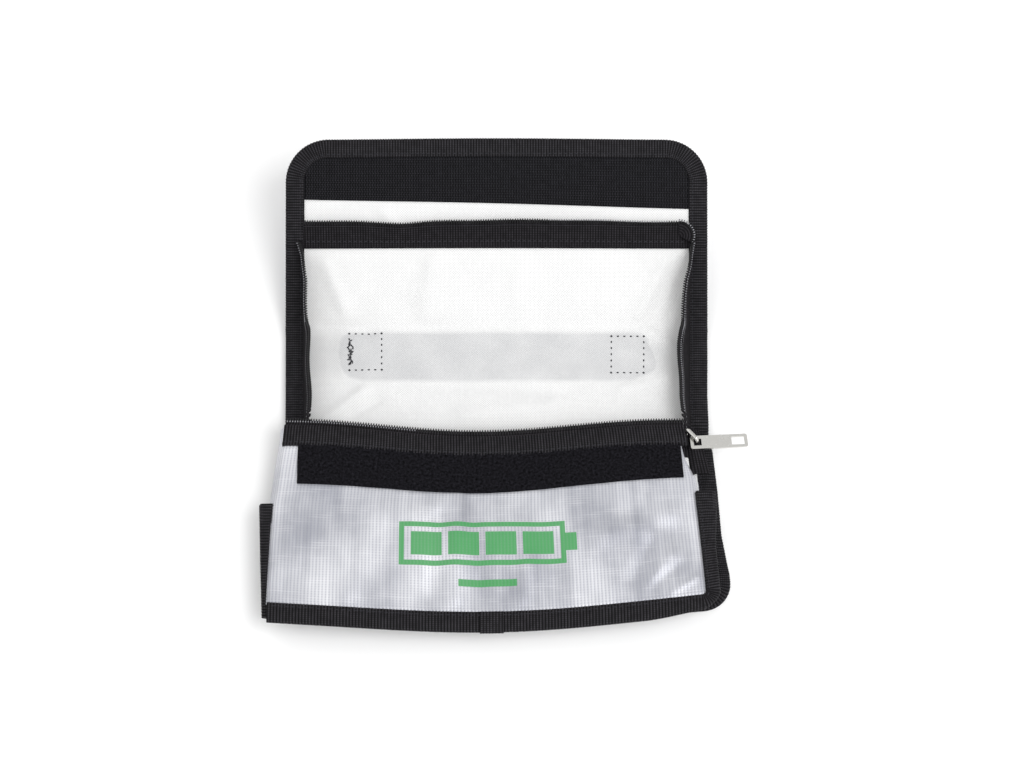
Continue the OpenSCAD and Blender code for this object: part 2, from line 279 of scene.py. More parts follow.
def lining_material():
    """White woven lining, fuzzy, with broad soft areas of painted fold shade and a band of painted shade
    over the webbing.
    """
    mat = new_material("lining", "white_lining", (0.86, 0.86, 0.85), 0.62, gloss=0.3)
    g = Graph(mat)
    weave = twill(g, 1.25)
    # Painted shade: broad soft grey areas standing in for the shade of loose folds.
    painted_fold_shade = g.noise(0.045, 3)
    fibre = g.noise(0.5, 3, (1, 0.4))
    colour = g.mix(g.times(weave, 0.75), (0.82, 0.82, 0.818), (0.44, 0.445, 0.445))
    colour = g.mix(g.fit(painted_fold_shade, 0.4, 0.7, 0.0, 0.22), colour, (0.62, 0.625, 0.63))
    colour = g.mix(g.fit(fibre, 0.5, 0.9, 0.0, 0.3), colour, (0.90, 0.90, 0.90))
    # Painted shade: the grey band over the webbing behind the lid.
    colour = g.mix(g.times(strap_shadow(g), 0.55), colour, (0.38, 0.385, 0.40))
    g.set("Base Color", colour)
    g.bump(weave, 0.5, 0.15)
    return mat


def strap_shadow(g):
    """Painted shade over the webbing behind the lid: a grey band with rounded ends, and fainter painted
    shade towards the sides where the cloth sags.
    """
    wobble = g.fit(g.noise(0.06, 2), 0.3, 0.7, -3.0, 3.0)
    along = g.math("SUBTRACT", g.math("ABSOLUTE", g.plus(g.u, wobble)), HANDLE_HALF + 2)
    beyond = g.math("MAXIMUM", along, 0)
    away = g.math("ABSOLUTE", g.math("SUBTRACT", g.v, HANDLE_S - 2))
    reach = g.math("SQRT", g.plus(g.math("POWER", beyond, 2), g.math("POWER", away, 2)))
    faint = g.times(g.fit(away, 5.0, 13.0, 1.0, 0.0), 0.45)
    band = g.math("MAXIMUM", g.fit(reach, 12.0, 14.5, 1.0, 0.0), faint)
    return g.times(band, g.fit(g.noise(0.06, 2), 0.25, 0.75, 0.6, 1.0))


def black_weave(name, slot_name, base, rough, along, across, bump):
    """Black tape: ribs across it at pitch along, finer threads at pitch across. Rib crests and thread
    crossings are painted lighter: partly the weave's own look, partly a painted highlight, made uneven by
    noise.
    """
    mat = new_material(name, slot_name, base, rough, gloss=0.12)
    g = Graph(mat)
    rib = g.wave(g.u, along)
    thread = g.wave(g.v, across)
    uneven_rib_light = g.noise(0.3, 3)
    # Painted highlight in part: rib crests and thread crossings lighter than the black base, unevenly.
    shade = g.times(rib, g.math("MULTIPLY_ADD", thread, 0.75, 0.25))
    shade = g.times(shade, g.fit(uneven_rib_light, 0.25, 0.75, 0.4, 1.0))
    colour = g.mix(shade, base, tuple(c * 16 + 0.012 for c in base))
    g.set("Base Color", colour)
    g.bump(g.plus(rib, g.times(thread, 0.4)), 0.6, bump)
    return mat


def loop_material():
    """Black fuzz of the soft fastening strip."""
    mat = new_material("loop_pile", "loop_fabric", (0.006, 0.006, 0.007), 0.95, gloss=0.03)
    g = Graph(mat)
    fuzz = g.fit(g.noise(0.9, 4, rough=0.75), 0.35, 0.7)
    g.set("Base Color", g.mix(fuzz, (0.001, 0.001, 0.001), (0.025, 0.024, 0.030)))
    g.bump(fuzz, 0.9, 0.6)
    return mat


def metal_material():
    """Nickel with fine scratches."""
    mat = new_material("nickel_plate", "nickel", (0.74, 0.73, 0.7), 0.22, metallic=1.0)
    tree = mat.node_tree
    coords = add_node(tree, "TexCoord").outputs["Object"]
    scratches = add_node(tree, "TexNoise", Scale=300, Detail=3, Vector=coords).outputs[0]
    rough = add_node(tree, "MapRange", **{"To Min": 0.16, "To Max": 0.34, "Value": scratches})
    bump = add_node(tree, "Bump", Strength=0.03, Distance=0.1 * MM, Height=scratches)
    shader = tree.nodes["Principled BSDF"]
    feed(tree, shader.inputs["Roughness"], rough.outputs[0])
    feed(tree, shader.inputs["Normal"], bump.outputs[0])
    return mat


def speckled(name, slot_name, base, rough, gloss):
    """Nylon or thread whose shade varies a little from place to place."""
    mat = new_material(name, slot_name, base, rough, gloss=gloss)
    g = Graph(mat)
    grain = g.noise(2.5, 2)
    dark, light = (tuple(share * c for c in base) for share in (0.6, 1.5))
    g.set("Base Color", g.mix(grain, dark, light))
    g.set("Roughness", g.fit(grain, 0.3, 0.7, rough - 0.06, rough + 0.06))
    return mat


BLACK = (0.0032, 0.0030, 0.0035)
SILVER = silver_material(False)
SILVER_PRINT = silver_material(True)
LINING = lining_material()
BINDING = black_weave("binding_tape", "black_binding", BLACK, 0.7, RIB_PITCH, 0.9, 0.2)
TAPE = black_weave("zip_cloth", "zip_tape", (0.0020, 0.0018, 0.0022), 0.8, 1.3, 1.1, 0.2)
WEBBING = black_weave("webbing_cloth", "webbing", BLACK, 0.6, 1.6, 2.1, 0.3)
HOOK = black_weave("hook_tape", "hook_fabric", (0.0010, 0.0010, 0.0014), 0.7, 1.3, 0.8, 0.3)
LOOP = loop_material()
COIL = speckled("coil_nylon", "zip_coil", (0.010, 0.010, 0.011), 0.4, 0.3)
# Painted highlight: the hooks are coloured lighter than the strip's base, as their lit tops.
HOOK_LIT = speckled("hook_highlight", "hook_fabric", (0.018, 0.017, 0.021), 0.5, 0.3)
# Near-black colour for the slider body, so it stays dark beside the nickel link and tab; its real finish is
# not known.
SLIDER_DARK = speckled("dark_slider", "black_enamel", (0.012, 0.012, 0.013), 0.3, 0.6)
# Painted glints: light grey for beads set where the coil teeth catch the light.
COIL_GLINT = speckled("painted_coil_glint", "zip_coil", (0.24, 0.24, 0.26), 0.35, 0.5)
THREAD = speckled("dark_thread", "thread", (0.03, 0.03, 0.035), 0.7, 0.1)
WHITE_THREAD = speckled("grey_thread", "thread", (0.16, 0.16, 0.17), 0.7, 0.2)
NICKEL = metal_material()


# ---- mesh building

def smooth(value, low, high):
    """Smooth step from 0 at low to 1 at high."""
    t = np.clip((np.asarray(value, float) - low) / (high - low), 0, 1)
    return t * t * (3 - 2 * t)


def ripple(x, y, size, seed=0.0):
    """Gentle noise from -1 to 1 at points given in millimetres."""
    x, y = spread(x, y)
    flat = [noise.noise(Vector((a / size, b / size, seed))) for a, b in zip(x.ravel(), y.ravel())]
    return np.array(flat).reshape(x.shape)


def make_object(name, points, faces, uvs, material):
    """A mesh object from points in millimetres; uvs holds one pair per point."""
    mesh = bpy.data.meshes.new(name)
    mesh.from_pydata((np.asarray(points) * MM).tolist(), [], [list(map(int, f)) for f in faces])
    mesh.update()
    layer = mesh.uv_layers.new(name="fabric")
    index = np.empty(len(mesh.loops), int)
    mesh.loops.foreach_get("vertex_index", index)
    layer.data.foreach_set("uv", np.asarray(uvs, float)[index].astype(np.float32).ravel())
    mesh.polygons.foreach_set("use_smooth", [True] * len(mesh.polygons))
    obj = bpy.data.objects.new(name, mesh)
    bpy.context.scene.collection.objects.link(obj)
    mesh.materials.append(material)
    return obj


def grid_faces(rows, cols, start=0, flip=False, wrap_cols=False):
    """Quads of a grid whose points run row by row."""
    index = start + np.arange(rows * cols).reshape(rows, cols)
    if wrap_cols:
        index = np.column_stack([index, index[:, 0]])
    corners = (index[:-1, :-1], index[:-1, 1:], index[1:, 1:], index[1:, :-1])
    quads = np.stack(corners, -1).reshape(-1, 4)
    return quads[:, ::-1] if flip else quads


def slab(name, place, x, s, low, high, material):
    """A closed sheet: x and s are grids over the fabric, low and high the heights of its faces."""
    rows, cols = x.shape
    count = rows * cols
    top = place(x, s, high).reshape(-1, 3)
    under = place(x, s, low).reshape(-1, 3)
    faces = [grid_faces(rows, cols), grid_faces(rows, cols, count, True)]
    index = np.arange(count).reshape(rows, cols)
    ring = np.concatenate([index[0], index[1:, -1], index[-1, -2::-1], index[-2:0:-1, 0]])
    ahead = np.roll(ring, -1)
    faces.append(np.stack([ahead, ring, ring + count, ahead + count], -1))
    uv = np.stack([x.ravel(), s.ravel()], -1)
    return make_object(name, np.vstack([top, under]), np.vstack(faces), np.vstack([uv, uv]), material)


def grid(x0, x1, s0, s1, step_x, step_s):
    """Fabric grids between limits with about the given steps."""
    xs = np.linspace(x0, x1, max(2, int(round(abs(x1 - x0) / step_x)) + 1))
    ss = np.linspace(s0, s1, max(2, int(round(abs(s1 - s0) / step_s)) + 1))
    s, x = np.meshgrid(ss, xs, indexing="ij")
    return x, s


def orient(obj):
    """Turns all faces outward."""
    work = bmesh.new()
    work.from_mesh(obj.data)
    bmesh.ops.recalc_face_normals(work, faces=work.faces)
    work.to_mesh(obj.data)
    work.free()
    return obj


def scale_uv(obj, along_u, along_v):
    """Brings fabric coordinates back to millimetres where a sheet was laid out in shares or angles."""
    data = obj.data.uv_layers["fabric"].data
    values = np.empty(len(data) * 2)
    data.foreach_get("uv", values)
    values = values.reshape(-1, 2) * (along_u, along_v)
    data.foreach_set("uv", values.ravel())


def stand_in(nodes):
    """Hides the CAD nodes that a piece stands in for, if any are named."""
    if nodes:
        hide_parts(*nodes)


def fasten(obj, body, *nodes):
    """Lets a piece ride on a body."""
    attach(obj, body)
    stand_in(nodes)


def beads(name, body, place, centres, ahead, sizes, material, *nodes, rings=5, sides=8):
    """Small rounded solids such as teeth and stitches. centres is x, s and n, numbers or arrays; ahead is
    the (dx, ds) each one lies along; sizes are the half lengths along, across and high."""
    theta = np.linspace(0, math.pi, rings + 2)[1:-1]
    phi = np.linspace(0, 2 * math.pi, sides, endpoint=False)
    unit = [[-1.0, 0.0, 0.0]]
    for t in theta:
        unit += [[-math.cos(t), math.sin(t) * math.cos(p), math.sin(t) * math.sin(p)] for p in phi]
    unit.append([1.0, 0.0, 0.0])
    unit = np.array(unit)
    local = [(0, 1 + (k + 1) % sides, 1 + k) for k in range(sides)]
    local += list(grid_faces(rings, sides, 1, wrap_cols=True))
    last = 1 + (rings - 1) * sides
    local += [(last + k, last + (k + 1) % sides, len(unit) - 1) for k in range(sides)]
    x, s, n = spread(*centres)
    ahead = np.broadcast_to(np.asarray(ahead, float), (len(x), 2))
    step = 0.2
    base = place(x, s, n)
    e1 = place(x + step * ahead[:, 0], s + step * ahead[:, 1], n) - base
    e3 = place(x, s, n + step) - base
    e1 /= np.linalg.norm(e1, axis=1, keepdims=True)
    e3 -= e1 * np.sum(e1 * e3, axis=1, keepdims=True)
    e3 /= np.linalg.norm(e3, axis=1, keepdims=True)
    e2 = np.cross(e3, e1)
    axes = np.stack([e1, e2, e3], 1)
    points = (base[:, None] + unit * sizes @ axes).reshape(-1, 3)
    faces = [[len(unit) * k + i for i in f] for k in range(len(base)) for f in local]
    fasten(make_object(name, points, faces, points[:, :2], material), body, *nodes)


# ---- where the cloth lies

GUSSET_ANGLE = math.radians(6)
GUSSET_W = 45.0
TOP_SEAM_Z = joint_at("front_seam")[2]
SEAM_HALF = abs(joint_at("right_seam")[0])

S_STEP = 0.25
S_TABLE = np.arange(-BACK_H - 12, SEAM_S + FLAP_L + 12, S_STEP)
RISE_FROM, RISE_TO = -4.0, 7.0


def cloth_slope():
    """Slope of the cloth along S_TABLE: a step on to the handle at the hinge, and the lid's crease."""
    rise = np.clip((S_TABLE - RISE_FROM) / (RISE_TO - RISE_FROM), 0, 1)
    crease = LID_ANGLE * smooth(S_TABLE, CREASE_S - 9, CREASE_S + 7)
    return crease + LID_LIFT / (RISE_TO - RISE_FROM) * 2 * np.sin(math.pi * rise) ** 2


SLOPE = cloth_slope()
Y_TABLE = np.cumsum(np.cos(SLOPE)) * S_STEP
Z_TABLE = np.cumsum(np.sin(SLOPE)) * S_STEP
Y_TABLE += SEAM_Y - Y_TABLE[np.argmin(abs(S_TABLE + BACK_H))]

# Half widths over the binding, at distances along the cloth
WIDTH_S = (-90, -74, -62, -52, -30, -10, 0, 20, 40, 56, 170)
WIDTH_RIGHT = (106.4, 106.2, 105, 103.8, 103.4, 102.4, 101, 101.5, 102.8, 103.7, 103.7)
WIDTH_LEFT = (102, 102, 102, 102, 101.6, 100.8, 99.9, 101.2, 102.6, 103.7, 103.7)


def bed(x, s, n):
    """A point on the back, lid or flap: x across, s along from the lid hinge, n above the outer face.
    The lower right corner is pushed in a little, and the flap droops at its middle."""
    x, s, n = spread(x, s, n)
    half = np.where(x > 0, np.interp(s, WIDTH_S, WIDTH_RIGHT), np.interp(s, WIDTH_S, WIDTH_LEFT))
    x = x + np.clip(x / PANEL_HALF, -1, 1) * (half - OUTER_HALF)
    slope = np.interp(s, S_TABLE, SLOPE)
    corner = 4.5 * smooth(x, 60, 95) * smooth(-s, 60, 84)
    droop = 0.6 * smooth(s, 6, 20) * np.cos(x / OUTER_HALF * math.pi) * smooth(s, 60, 140)
    y = np.interp(s, S_TABLE, Y_TABLE) - n * np.sin(slope) + corner
    z = np.interp(s, S_TABLE, Z_TABLE) + n * np.cos(slope) + droop
    return np.stack([x, y, z], -1)


FRONT_Z = FRONT_LOW[2] - 0.5

# Where the front's edges lie across the bag, at distances up from the bottom seam
EDGE_T = (-9, 0, 25, 45, 62, 76, 84)
EDGE_LEFT = (-99.6, -100, -100.6, -100.8, -99.8, -98.6, -98.4)
EDGE_RIGHT = (93.2, 93.4, 92.6, 91.6, 90.8, 90.2, 89.2)


def bulge(x, centre, half):
    """1 at a centre, falling to 0 at a half width on either side."""
    return np.cos(np.clip(x - centre, -half, half) / half * math.pi) * 0.5 + 0.5


def front(x, t, n):
    """A point on the front panel: x across, t up from the bottom seam, n above its inner face."""
    x, t, n = spread(x, t, n)
    up = t / FRONT_H
    middle, low_middle = bulge(x, -4, 88), bulge(x, 3, 92)
    y = FRONT_LOW[1] + t + 3.4 * smooth(up, 0.2, 1.0) - 4.0 * middle * smooth(up, 0.25, 1.0)
    y = y - 3.2 * low_middle * smooth(-up, -0.6, 0.1)
    ends = 1.9 * x / FRONT_HALF + 2.2 * np.abs(x / FRONT_HALF) ** 4
    y = y + ends * smooth(-up, -0.7, 0.0) + 3.0 * smooth(x, 66, 101) * smooth(-t, -1, 9)
    sag = 4.2 * middle * smooth(up, 0.2, 1.0) + 3.2 * low_middle * smooth(-up, -0.5, 0.0)
    left, right = np.interp(t, EDGE_T, EDGE_LEFT), np.interp(t, EDGE_T, EDGE_RIGHT)
    inside = np.clip(x, -FRONT_HALF, FRONT_HALF)
    squeeze = 1 - 0.32 * smooth(x, 80, 93) * smooth(-t, -50, -20)
    across = (left + right) / 2 + inside / FRONT_HALF * (right - left) / 2 + (x - inside) * squeeze
    return np.stack([across, y, FRONT_Z + n - sag], -1)


def tilted(u, n):
    """How far in and how far up a place on a gusset half lies, u in from its seam and n off its cloth."""
    sine, cosine = math.sin(GUSSET_ANGLE), math.cos(GUSSET_ANGLE)
    return u * cosine - n * sine, u * sine + n * cosine


# ---- bindings

RIB_DEPTH = 0.24
GROOVE = 1.5


def binding_section(distance, low, high, width):
    """Section of folded, ribbed binding tape at a distance along it, as (outward, height) pairs."""
    middle = (low + high) / 2
    outline = [(-0.25, middle), (0.0, high - 0.1), (0.9, high), (GROOVE, high - 0.22), (2.1, high),
               (width * 0.5, high + 0.12), (width - 1.3, high - 0.05), (width - 0.4, high - 0.4),
               (width, middle), (width - 0.4, low + 0.4), (width - 1.3, low), (width * 0.5, low), (0.0, low)]
    ribbed = [0, 0.4, 1, 0.3, 1, 1, 1, 1, 1, 0.8, 0.6, 0.6, 0.4]
    wave = RIB_DEPTH * math.cos(2 * math.pi * distance / RIB_PITCH)
    points = []
    for (off, height), amount in zip(outline, ribbed):
        lift = wave * amount * (1 if height >= middle else -1)
        points.append((off + (0.3 * wave * amount if off > width * 0.8 else 0), height + lift))
    return points


def path_length(x, s):
    """Distance along a path at each of its points."""
    return np.concatenate([[0], np.cumsum(np.hypot(np.diff(x), np.diff(s)))])


def tape(name, place, path, low, high, width=BINDING_W, uv_start=0.0):
    """Binding tape along a path of x, s and the outward direction, from low to high. Its ribs are counted
    along the middle of the tape."""
    x, s, out_x, out_s = path
    length = path_length(x + out_x * BINDING_W * 0.6, s + out_s * BINDING_W * 0.6)
    profile = np.array([binding_section(distance, low, high, width) for distance in length])
    rows, cols = profile.shape[:2]
    off, height = profile[..., 0], profile[..., 1]
    points = place(x[:, None] + out_x[:, None] * off, s[:, None] + out_s[:, None] * off, height)
    faces = list(grid_faces(rows, cols, wrap_cols=True))
    faces += [range(cols - 1, -1, -1), range((rows - 1) * cols, rows * cols)]
    uv = np.stack(spread(length[:, None] + uv_start, path_length(*profile[0].T)), -1)
    return orient(make_object(name, points.reshape(-1, 3), faces, uv.reshape(-1, 2), BINDING))


def u_path(half, s_open, s_end, r):
    """Path up one side, round two corners of inner radius r and back down the other side."""
    way = 1 if s_end > s_open else -1
    turn = np.linspace(0, math.pi / 2, max(4, int(1.5 * (r + BINDING_W) / RIB_STEP)))
    sine, cosine = np.sin(turn), np.cos(turn)
    side = s_open + way * np.arange(0, abs(s_end - s_open) - r, RIB_STEP)
    across = np.arange(half - r - RIB_STEP, -half + r, -RIB_STEP)
    corner_x, corner_s = half - r, s_end - way * r
    parts = (spread(half, side, 1, 0),
             (corner_x + r * cosine, corner_s + way * r * sine, cosine, way * sine),
             spread(across, s_end, 0, way),
             (-corner_x - r * sine, corner_s + way * r * cosine, -sine, way * cosine),
             spread(-half, side[::-1], -1, 0))
    return tuple(np.concatenate(column) for column in zip(*parts))


def stitch_row(name, body, place, path, height):
    """A row of sewing stitches in the groove of a binding."""
    length = path_length(path[0], path[1])
    marks = np.arange(1.0, length[-1] - 1.0, STITCH_PITCH)
    x, s, out_x, out_s = (np.interp(marks, length, values) for values in path)
    size = np.hypot(out_x, out_s)
    out_x, out_s = out_x / size, out_s / size
    centres = (x + out_x * GROOVE, s + out_s * GROOVE, height)
    sizes = (STITCH_PITCH * 0.36, 0.22, 0.16)
    beads(name, body, place, centres, np.stack([-out_s, out_x], -1), sizes, THREAD)


def glints(name, body, place, centres, ahead):
    """Painted glints: light grey beads on the coil teeth where they catch the light."""
    beads(name, body, place, centres, ahead, (0.46, 0.30, 0.26), COIL_GLINT, rings=3, sides=6)


def hinge_blend(obj, *nodes):
    """Bakes a lid piece's place into its mesh and hides the CAD nodes it stands in for."""
    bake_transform(obj)
    stand_in(nodes)


def seam_blend(obj, *nodes):
    """Bakes a flap piece's place into its mesh and hides the CAD nodes it stands in for."""
    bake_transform(obj)
    stand_in(nodes)


# ---- back

def build_back():
    x, s = grid(-PANEL_HALF, PANEL_HALF, -BACK_H, -1, 4, 4)
    fasten(slab("back_cloth", bed, x, s, 0.0, CLOTH_T, SILVER), "back", "back_outer")
    x, s = grid(-PANEL_HALF - 4, PANEL_HALF + 4, -BACK_H - 4, -1, 4, 4)
    fasten(slab("back_inner", bed, x, s, CLOTH_T, LINING_N, LINING), "back", "back_lining")
    path = u_path(PANEL_HALF, -1, -BACK_H, 5)
    fasten(tape("back_edge", bed, path, 0.0, BINDING_TOP), "back", "back_binding")
    stitch_row("back_edge_stitches", "back", bed, path, BINDING_TOP - 0.1)


# ---- lid

def fold(x, s, x0, s0, x1, s1, width, height):
    """A soft straight fold between two places on the cloth."""
    length = math.hypot(x1 - x0, s1 - s0)
    ahead_x, ahead_s = (x1 - x0) / length, (s1 - s0) / length
    along = (x - x0) * ahead_x + (s - s0) * ahead_s
    aside = (x - x0) * ahead_s - (s - s0) * ahead_x
    fade = smooth(along, -width, width) * (1 - smooth(along, length - width, length + width))
    return height * fade * np.exp(-(aside / width) ** 2)


# Folds of the lid: x and s where each starts, x and s where it ends, its width and its height
LID_FOLDS = ((84, 92, 70, 62, 3.2, 1.1), (92, 84, 84, 60, 2.6, -0.9), (58, 94, 52, 66, 4.5, 0.7),
             (-86, 92, -74, 64, 3.4, 1), (-30, 95, -36, 62, 5, 0.8), (14, 95, 8, 70, 4, 0.6),
             (-88, 58, -60, 54, 3, -0.8), (-88, 4, -64, 24, 3, 1), (-74, 8, -58, 18, 3, -1),
             (-20, 8, 30, 14, 5, 0.8), (60, 22, 88, 30, 3.5, 1), (62, 14, 86, 8, 3.5, -0.8),
             (-50, 26, 40, 22, 4, -0.5), (72, 58, 90, 44, 3, 0.9))


def lid_wave(x, s):
    """How far the lid cloth stands off its flat shape, with its crease and the webbing pressed through."""
    away = np.clip(np.abs(x) / PANEL_HALF, 0, 1)
    inner = (1 - away ** 6) * smooth(s, 0, 10) * (1 - smooth(s, 90, 97))
    big = 0.9 * ripple(x, s, 30, 3.1) + 0.35 * ripple(x, s, 11, 7.7)
    crease = -0.6 * np.exp(-((s - CREASE_S - 2 + 3 * ripple(x, 0, 60, 1.0)) / 4.0) ** 2)
    strap_end = smooth(-np.abs(x), -HANDLE_HALF - 17, -HANDLE_HALF - 11)
    strap = 0.8 * smooth(-np.abs(s - HANDLE_S), -15, -11.5) * strap_end
    folds = 1.6 * sum(fold(x, s, *numbers) for numbers in LID_FOLDS)
    return inner * (big + crease + strap + folds)


def bed_waved(x, s, n):
    """The lid surface with its soft waves."""
    return bed(x, s, n + lid_wave(x, s))


def build_lid():
    x, s = grid(-PANEL_HALF, PANEL_HALF, -1, SEAM_S, 1.6, 1.2)
    hinge_blend(slab("lid_cloth", bed_waved, x, s, 0.0, CLOTH_T, SILVER), "lid_outer")
    x, s = grid(-PANEL_HALF - 3, PANEL_HALF + 3, -1, SEAM_S, 1.6, 1.2)
    hinge_blend(slab("lid_inner", bed_waved, x, s, CLOTH_T, LINING_N, LINING), "lid_lining")
    s = np.linspace(-1, SEAM_S, int((SEAM_S + 1) / RIB_STEP) + 2)
    for name, side, nodes in (("left", -1, ("lid_binding",)), ("right", 1, ())):
        path = spread(side * PANEL_HALF, s, side, 0)
        hinge_blend(tape(f"lid_edge_{name}", bed, path, 0.0, BINDING_TOP), *nodes)
        stitch_row(f"lid_edge_stitches_{name}", "lid", bed, path, BINDING_TOP - 0.1)


# How far the top of each side tape leans in, at distances along the lid
LEAN_S = (4, 14, 43, 62, 80, 92, 100)
LEAN_LEFT = (4.0, 4.0, 3.6, 3.2, 2.4, 0.6, -2.0)
LEAN_RIGHT = (4.0, 5.2, 5.8, 4.6, 3.2, 0.6, -1.6)
TAPE_H = 11.5


def side_tape_place(side):
    """Place of a standing side tape: h up it, s along it, n through it."""
    leans = LEAN_LEFT if side < 0 else LEAN_RIGHT

    def place(h, s, n):
        h, s, n = spread(h, s, n)
        lean = np.interp(s, LEAN_S, leans) + 0.35 * np.sin(s / 5.5 + side)
        share = np.clip(h / TAPE_H, 0, 1.3)
        x = PANEL_HALF + 0.1 - lean * share ** 1.25 + n
        low = 1 - 0.7 * smooth(s, 84, 99)
        height = LINING_N + 0.6 + h * low * np.sqrt(np.maximum(0.3, 1 - (lean / TAPE_H) ** 2))
        return bed(side * x, s, height)

    return place


def build_side_zips():
    """The zip runs that stand up along both sides of the lid."""
    for name, side, nodes in (("left", -1, ("lid_side_tapes", "lid_side_coils")), ("right", 1, ())):
        place = side_tape_place(side)
        s_end = SEAM_S + 3
        h, s = grid(-0.4, TAPE_H, 2.0, s_end, 1.2, 1.5)
        fasten(orient(slab(f"lid_zip_cloth_{name}", place, h, s, 0.0, 0.4, TAPE)), "lid", *nodes[:1])
        marks = np.arange(2.5, s_end - 0.5, TOOTH_PITCH)
        beads(f"lid_zip_teeth_{name}", "lid", place, (TAPE_H, marks, -0.2), (1.0, 0.18),
              (1.5, 0.36, 0.62), COIL, *nodes[1:])
        beads(f"lid_zip_stitches_{name}", "lid", place, (TAPE_H - 1.9, marks, 0.7), ALONG,
              (0.45, 0.18, 0.14), WHITE_THREAD)
        lit = marks[marks > (58 if side < 0 else 6)]
        glints(f"lid_zip_glints_{name}", "lid", place, (TAPE_H - 0.1, lit, 0.85), (1.0, 0.2))


def build_handle():
    """Webbing under the lid, with cross ribs on both faces, and its stitches."""
    half_l, half_w = HANDLE_HALF + HANDLE_END, 12.5
    x, s = grid(-half_l, half_l, HANDLE_S - half_w, HANDLE_S + half_w, 0.8, 0.8)

    def place(x, s, n):
        return bed(x, s, n + 0.12 * np.cos(2 * math.pi * x / 1.6) * np.sign(n + 1.0))

    fasten(orient(slab("carry_handle", place, x, s, -1.85, -0.25, WEBBING)), "lid", "handle_strap")
    build_box_stitches()


def build_box_stitches():
    """Thread at the two boxes, seen on the lining and on the webbing; the left box is sewn over twice."""
    box_x, box_s = 16.0, 20.4
    centres, ahead = [], []
    for side in (-1, 1):
        middle = side * (HANDLE_HALF + 0.6)
        centre_s = HANDLE_S - 0.3 - 0.8 * side
        across = np.arange(-box_x / 2, box_x / 2 + 0.1, box_x / 5)
        upward = np.arange(-box_s / 2, box_s / 2 + 0.1, box_s / 6)
        for edge in (-1, 1):
            centres += [(middle + d, centre_s + edge * box_s / 2) for d in across]
            ahead += [ACROSS] * len(across)
            centres += [(middle + edge * box_x / 2, centre_s + d) for d in upward]
            ahead += [ALONG] * len(upward)
    x, s = np.array(centres).T
    height = LINING_N + lid_wave(x, s) + 0.08
    beads("handle_stitch_dots", "lid", bed, (x, s, height), ahead, (0.62, 0.36, 0.2), THREAD,
          "handle_stitching")
    beads("handle_stitch_under", "lid", bed, (x, s, -1.95), ahead, (1.1, 0.3, 0.2), THREAD)
    rng = np.random.default_rng(4)
    knots = [(-HANDLE_HALF - box_x / 2 + rng.normal(0, 0.55), HANDLE_S - 6.5 + 13 * k / 22)
             for k in range(23)]
    turns = rng.uniform(0, math.pi, len(knots))
    x, s = np.array(knots).T
    height = LINING_N + lid_wave(x, s) + 0.18
    ways = np.stack([np.cos(turns), np.sin(turns)], -1)
    beads("handle_stitch_repair", "lid", bed, (x, s, height), ways, (0.9, 0.3, 0.3), THREAD)


# ---- flap

def flap_wave(x, s):
    """Soft waves and one fold of the flap's lining, between its zip and its hook strip."""
    inner = 1 - np.clip(np.abs(x) / PANEL_HALF, 0, 1) ** 8
    fold = 0.8 * np.exp(-(((x + 52) + (s - 110) * 0.8) / 3.5) ** 2) * smooth(s, 104, 110)
    free = smooth(s, SEAM_S, SEAM_S + 6) * (1 - smooth(s, SEAM_S + 17, SEAM_S + 22))
    return inner * (0.45 * ripple(x, s, 22, 5.5) + fold) * free


def rounded(x, s, half, end, radius, reach):
    """Draws the corners of a sheet in, to a little more (reach) than the inner radius of its binding."""
    x, s = spread(x, s)
    across = np.maximum(np.abs(x) - (half - radius), 0)
    beyond = np.maximum(s - (end - radius), 0)
    distance = np.hypot(across, beyond)
    share = np.minimum(1, (radius + reach) / np.maximum(distance, 0.01))
    scale = np.where((across > 0) & (beyond > 0), share, 1.0)
    x = np.sign(x) * (np.abs(x) - across + across * scale)
    return x, s - beyond + beyond * scale


FLAP_R = 12.0
FLAP_END = SEAM_S + FLAP_L - BINDING_W


def flap_cover(x, s, n):
    """The flap's silver cloth, which ends under the binding."""
    return bed(*rounded(x, s, PANEL_HALF, FLAP_END, FLAP_R, 0.4), n)


def flap_lining(x, s, n):
    """The flap's waved lining."""
    x, s = rounded(x, s, PANEL_HALF, FLAP_END, FLAP_R, 6.0)
    return bed(x, s, n + flap_wave(x, s))


def build_flap():
    x, s = grid(-PANEL_HALF, PANEL_HALF, SEAM_S, FLAP_END, 3, 2)
    seam_blend(slab("flap_cloth", flap_cover, x, s, 0.0, CLOTH_T, SILVER), "flap_outer")
    x, s = grid(-PANEL_HALF - 3, PANEL_HALF + 3, SEAM_S, FLAP_END + 3, 1.6, 1.2)
    seam_blend(slab("flap_inner", flap_lining, x, s, CLOTH_T, LINING_N, LINING), "flap_lining")
    path = u_path(PANEL_HALF, SEAM_S, FLAP_END, FLAP_R)
    seam_blend(tape("flap_edge", bed, path, 0.0, BINDING_TOP + 0.3), "flap_binding")
    stitch_row("flap_edge_stitches", "flap", bed, path, BINDING_TOP + 0.15)
    build_hooks()
    build_flap_zip()


HOOK_W = 23.5


def hook_place(x, share, n):
    """On the hook strip: x across the bag, share from 0 at its near edge to 1 at its far edge."""
    near = FLAP_END - HOOK_W + 0.6 - 2.3 * x / PANEL_HALF
    return bed(x, near + share * (FLAP_END - near + 0.3), n + 0.1 * np.sin(x / 9.0))


